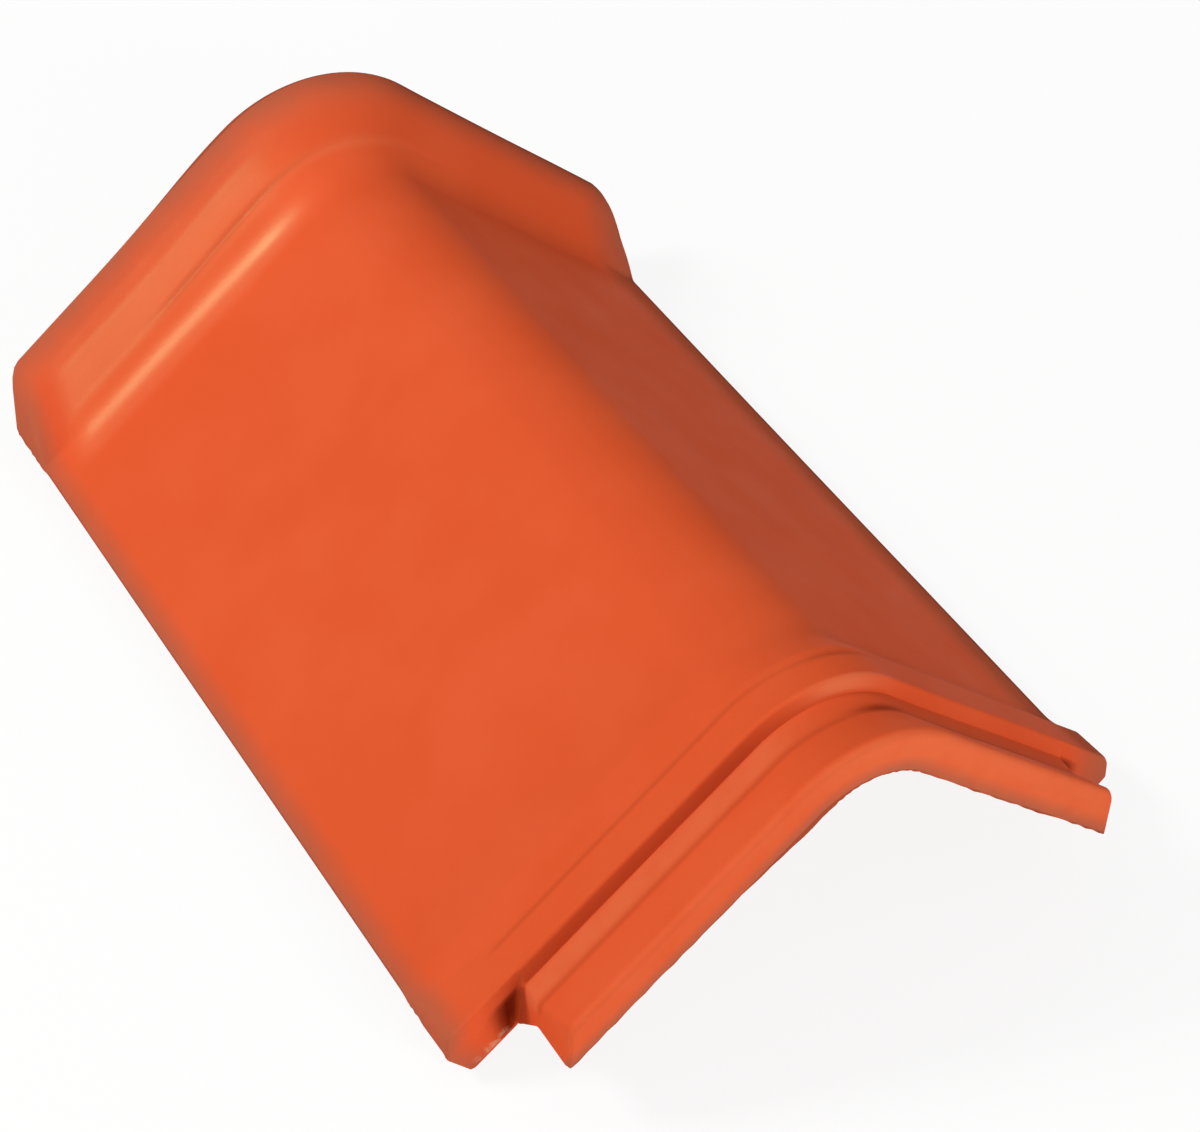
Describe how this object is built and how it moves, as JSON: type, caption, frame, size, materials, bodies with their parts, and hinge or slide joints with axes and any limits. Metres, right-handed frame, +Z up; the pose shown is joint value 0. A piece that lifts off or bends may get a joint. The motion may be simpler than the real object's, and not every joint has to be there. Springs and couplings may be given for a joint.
{
  "type": "clay ridge tile",
  "caption": "Angular fired-clay ridge tile with a rounded ridge, a raised collar at one end and a ribbed, grooved lip at the other, laid in a row over the top edge of a roof.",
  "frame": {"origin": "On the floor under the middle of the tile, which stands on its two lower edges.", "axes": "+Y along the ridge towards the collar, +X across the tile, +Z up."},
  "size_m": [0.26, 0.38, 0.1313],
  "materials": {
    "fired_clay": "smooth unglazed fired clay"
  },
  "bodies": {
    "root": {"ridge_tile": "fired_clay"}
  },
  "joints": []
}
